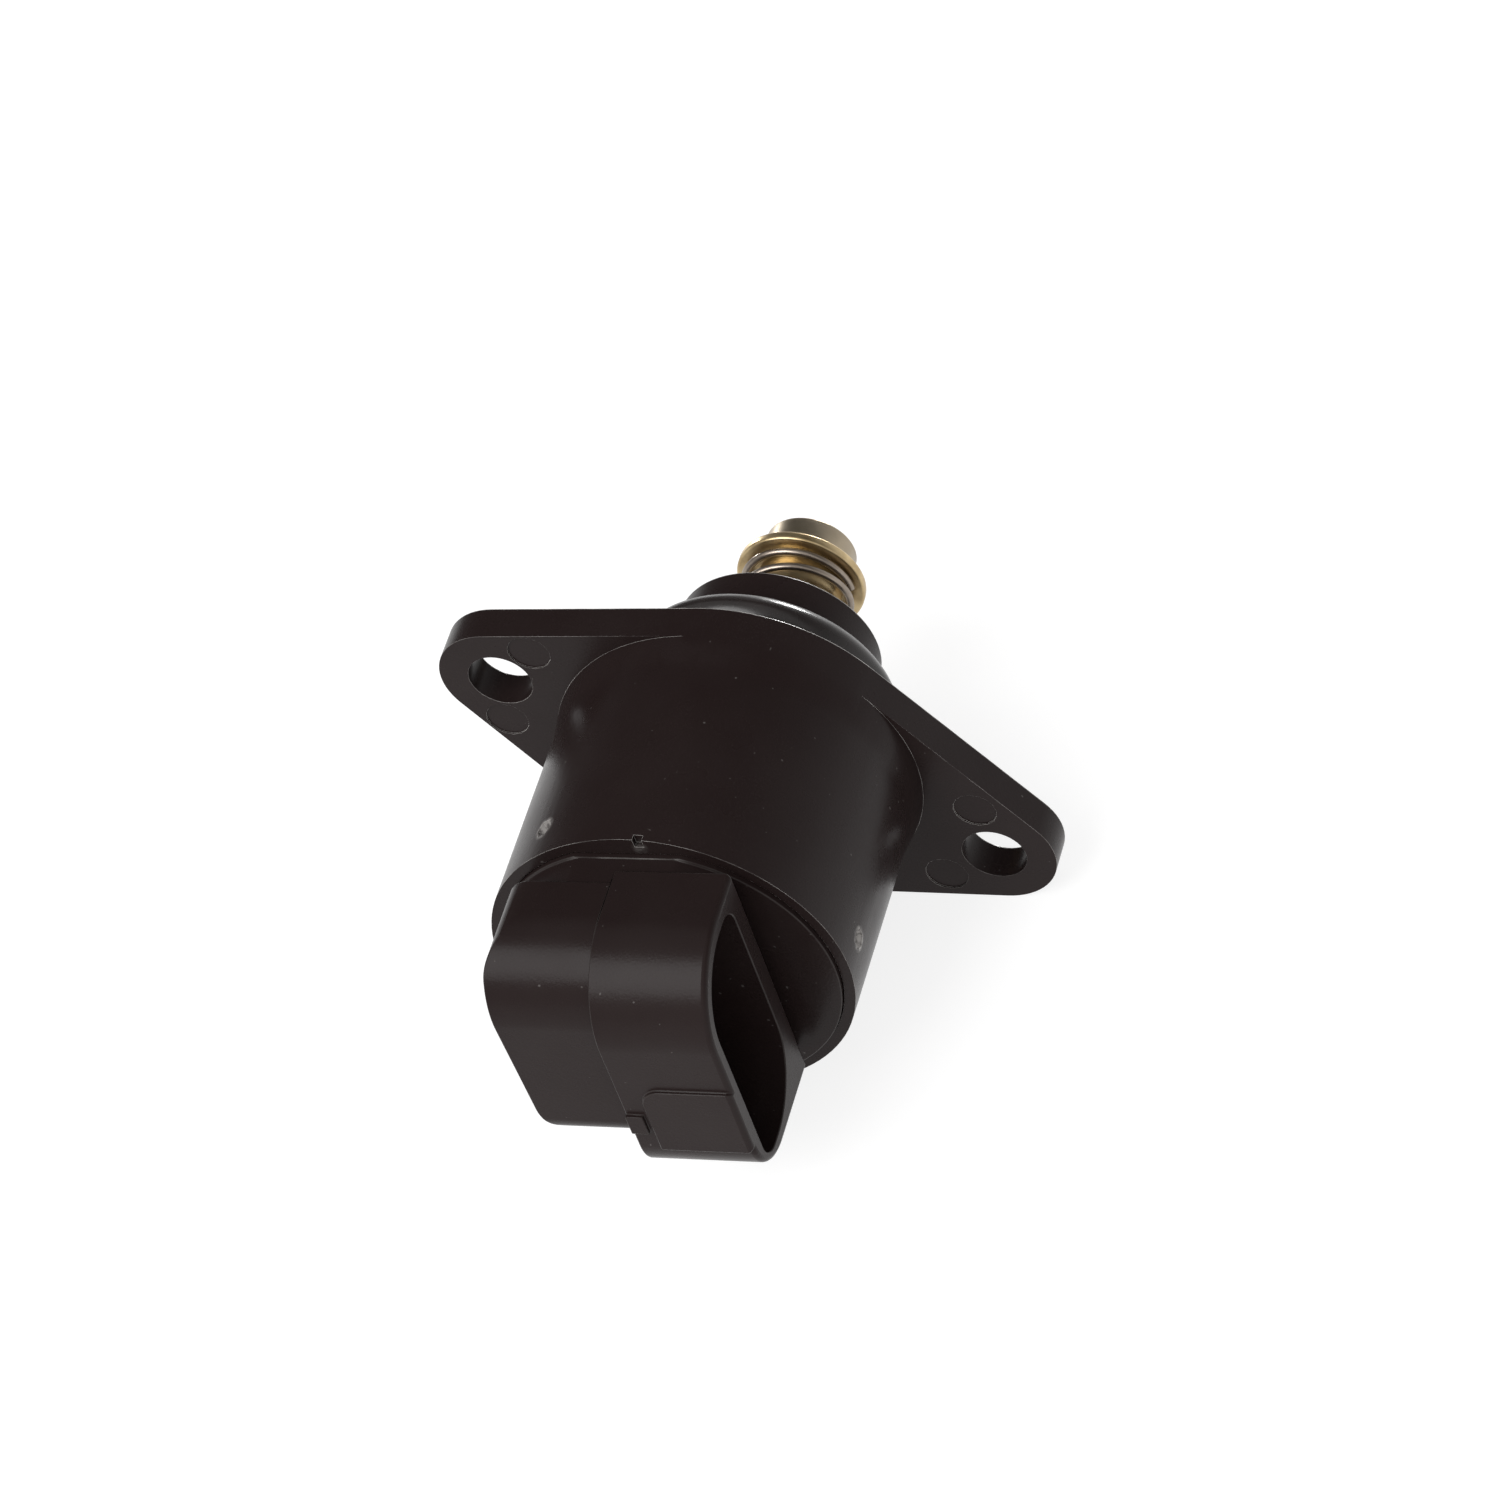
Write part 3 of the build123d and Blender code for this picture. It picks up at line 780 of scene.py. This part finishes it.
class VALVE_OT_head(bpy.types.Operator):
    """Turned head of the pintle"""

    bl_idname = "valve.head"
    bl_label = "Head"

    def execute(self, context):
        edge = context.scene.valve_sizes.metal_edge
        low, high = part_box("pintle_tip")
        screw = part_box("lead_screw")[1]
        outside = [(screw.x, low.y), (high.x, low.y), (high.x, high.y), (0, high.y)]
        blind_hole = [(0, screw.y), (screw.x, screw.y)]
        piece = lathe("turned_head", outside + blind_hole, [outside[2]], edge)
        finish = turned_finish("head_metal", context.scene.valve_finish.head, roughness=0.34)
        dress(piece, finish, PINTLE, "head_metal", "pintle_tip")
        return {"FINISHED"}


class VALVE_OT_lead_screw(bpy.types.Operator):
    """Rolled screw with two flats"""

    bl_idname = "valve.lead_screw"
    bl_label = "Lead screw"

    def execute(self, context):
        sizes = context.scene.valve_sizes
        low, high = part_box("lead_screw")
        pitch, root = sizes.thread_pitch, high.x - sizes.thread_depth
        # A spare turn at each end, which the cuts take off again
        turns = ceil((high.y - low.y) / pitch) + 2
        first = low.y - pitch
        tooth = [(root, first), (high.x, first + pitch / 2), (root, first + pitch)]
        screw = draw_line("rolled_screw", tooth)
        screw_on_axis(screw, pitch, turns, THREAD_STEPS, merged=True)
        finish_mesh(screw)
        ends = (((0, low.y, 0), (0, -1, 0)), ((0, high.y, 0), (0, 1, 0)))
        flats = (((0, 0, low.z), (0, 0, -1)), ((0, 0, high.z), (0, 0, 1)))
        for place, outward in ends + flats:
            edit_all(screw)
            bpy.ops.mesh.bisect(plane_co=place, plane_no=outward, use_fill=True, clear_outer=True)
        finish_mesh(screw, THREAD_SHARP_ANGLE)
        finish = plain_metal("stem_steel", context.scene.valve_finish.stem, roughness=0.32)
        dress(screw, finish, PINTLE, "stem_steel", "lead_screw")
        return {"FINISHED"}


class VALVE_OT_contacts(bpy.types.Operator):
    """Tinned blades in the socket"""

    bl_idname = "valve.contacts"
    bl_label = "Contact blades"

    def execute(self, context):
        edge = context.scene.valve_sizes.blade_edge
        tinned = plain_metal("contact_metal", context.scene.valve_finish.contact, roughness=0.28)
        for node in sorted(name for name in frame["nodes"] if name.startswith("terminal_pin")):
            blade = joined_copy(node, node.replace("terminal_pin", "contact_blade"))
            round_edges(blade, edge)
            dress(blade, tinned, BODY, "contact_metal", node)
        return {"FINISHED"}


class VALVE_OT_motor(bpy.types.Operator):
    """Finishes of the motor's inner pieces"""

    bl_idname = "valve.motor"
    bl_label = "Motor finishes"

    def execute(self, context):
        tones = context.scene.valve_finish
        finishes = {
            "stator_steel": plain_metal("stator_steel", tones.steel, roughness=0.35),
            "bobbin_plastic": plain_plastic("bobbin_plastic", tones.bobbin, roughness=0.45),
            "copper_winding": winding_finish(tones.copper),
            "hub_plastic": plain_plastic("hub_plastic", tones.hub, roughness=0.4),
            "magnet_ferrite": plain_metal("magnet_ferrite", tones.ferrite, roughness=0.45),
            "bearing_bronze": plain_metal("bearing_bronze", tones.bronze, roughness=0.4),
        }
        for part in frame["record"]["subparts"]:
            if part["material_slot"] in finishes:
                frame["nodes"][part["node"]].material_slots[0].material = finishes[part["material_slot"]]
        return {"FINISHED"}


class VALVE_OT_stage(bpy.types.Operator):
    """Lit table, room, lamps and the camera"""

    bl_idname = "valve.stage"
    bl_label = "Stage"

    def execute(self, context):
        stage = context.scene.valve_stage
        self.lay_floor(stage)
        self.light_world(context.scene, stage)
        self.hang_lamp("key_light", stage.light_from, stage.key, stage.key_angle)
        self.hang_lamp("soft_light", stage.light_from, stage.soft, stage.soft_angle)
        self.hang_lamp("rim_light", stage.rim_from, stage.rim, stage.rim_angle)
        self.aim_spot(stage)
        self.place_camera(context.scene, stage)
        context.scene.view_settings.view_transform = "Standard"
        return {"FINISHED"}

    def lay_floor(self, stage):
        """Table below the valve; it gives off light except on its left."""
        start_clean()
        bpy.ops.mesh.primitive_plane_add(size=stage.floor_size, location=(0, 0, CAD_LOW[2]))
        floor = bpy.context.object
        floor.name = "studio_floor"
        finish = Finish("studio_floor", roughness=0.8)
        finish.shader.inputs["Base Color"].default_value = (*stage.floor, 1.0)
        finish.shader.inputs["Specular IOR Level"].default_value = 0.0
        finish.shader.inputs["Emission Color"].default_value = (1, 1, 1, 1)
        glow = finish.span(finish.part("X"), 0.0, stage.glow, source=GLOW_FADE)
        finish.link(glow, finish.shader.inputs["Emission Strength"])
        floor.data.materials.append(finish.material)

    def light_world(self, scene, stage):
        """White room, darker overhead and on its left."""
        world = bpy.data.worlds.new("studio")
        world.use_nodes = True
        tree = world.node_tree
        towards = tree.nodes.new("ShaderNodeSeparateXYZ")
        tree.links.new(tree.nodes.new("ShaderNodeTexCoord").outputs["Generated"], towards.inputs["Vector"])
        strength = tree.nodes.new("ShaderNodeMath")
        strength.operation = "MULTIPLY"
        fades = (("Z", *HEIGHT_FADE, stage.horizon, stage.zenith), ("X", *SIDE_FADE, stage.shade, 1.0))
        for index, (axis, *limits) in enumerate(fades):
            fade = tree.nodes.new("ShaderNodeMapRange")
            for socket, value in zip(("From Min", "From Max", "To Min", "To Max"), limits):
                fade.inputs[socket].default_value = value
            tree.links.new(towards.outputs[axis], fade.inputs["Value"])
            tree.links.new(fade.outputs["Result"], strength.inputs[index])
        background = tree.nodes["Background"]
        background.inputs["Color"].default_value = (1, 1, 1, 1)
        tree.links.new(strength.outputs["Value"], background.inputs["Strength"])
        scene.world = world

    def hang_lamp(self, name, place, strength, angle):
        """Far lamp that shines from a direction."""
        start_clean()
        bpy.ops.object.light_add(type="SUN", location=Vector(place))
        lamp = bpy.context.object
        lamp.name = name
        lamp.data.energy = strength
        lamp.data.angle = angle
        lamp.rotation_euler = Vector(place).to_track_quat("Z", "Y").to_euler()

    def aim_spot(self, stage):
        """Small lamp that makes the end of the head gleam."""
        start_clean()
        low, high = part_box("pintle_tip")
        head = (low + high) / 2
        place = head + Vector(stage.glint_from).normalized() * stage.glint_reach
        bpy.ops.object.light_add(type="SPOT", radius=stage.glint_width, location=place)
        lamp = bpy.context.object
        lamp.name = "head_light"
        lamp.data.energy = stage.glint
        lamp.data.spot_size = stage.glint_angle
        lamp.data.spot_blend = stage.glint_blend
        lamp.rotation_euler = (place - head).to_track_quat("Z", "Y").to_euler()

    def place_camera(self, scene, stage):
        """Camera where the photograph was taken from."""
        camera = bpy.data.cameras.new("picture_camera")
        camera.lens = stage.lens
        camera.sensor_width = PICTURE_WIDTH_MM
        camera.clip_start = 0.01
        eye = bpy.data.objects.new("picture_camera", camera)
        right, up = Vector(CAMERA_RIGHT).normalized(), Vector(CAMERA_UP)
        back = right.cross(up).normalized()
        up = back.cross(right)
        eye.matrix_world = Matrix.Translation(CAMERA_EYE) @ Matrix((right, up, back)).transposed().to_4x4()
        scene.collection.objects.link(eye)
        scene.camera = eye


class VALVE_PT_pieces(bpy.types.Panel):
    """Lists the valve's pieces and settings"""

    bl_idname = "VALVE_PT_pieces"
    bl_label = "Idle air valve"
    bl_space_type = "VIEW_3D"
    bl_region_type = "UI"
    bl_category = "Valve"

    def draw(self, context):
        for operator in OPERATORS:
            self.layout.operator(operator.bl_idname)
        for group in (context.scene.valve_sizes, context.scene.valve_finish, context.scene.valve_stage):
            box = self.layout.box()
            for key in group.bl_rna.properties.keys():
                if key not in {"rna_type", "name"}:
                    box.prop(group, key)


GROUPS = {"valve_finish": ValveFinish, "valve_sizes": ValveSizes, "valve_stage": ValveStage}
OPERATORS = (
    VALVE_OT_housing,
    VALVE_OT_cap,
    VALVE_OT_rubber_ring,
    VALVE_OT_return_spring,
    VALVE_OT_retainer,
    VALVE_OT_head,
    VALVE_OT_lead_screw,
    VALVE_OT_contacts,
    VALVE_OT_motor,
    VALVE_OT_stage,
)


def register():
    """Registers the settings, the operators and the panel."""
    for name, group in GROUPS.items():
        bpy.utils.register_class(group)
        setattr(bpy.types.Scene, name, PointerProperty(type=group))
    for operator in OPERATORS:
        bpy.utils.register_class(operator)
    bpy.utils.register_class(VALVE_PT_pieces)


def unregister():
    """Takes everything that register adds away again."""
    bpy.utils.unregister_class(VALVE_PT_pieces)
    for operator in reversed(OPERATORS):
        bpy.utils.unregister_class(operator)
    for name, group in GROUPS.items():
        delattr(bpy.types.Scene, name)
        bpy.utils.unregister_class(group)


def main():
    """Builds every piece in order."""
    register()
    for operator in OPERATORS:
        family, name = operator.bl_idname.split(".")
        getattr(getattr(bpy.ops, family), name)()


if __name__ == "__main__":
    main()
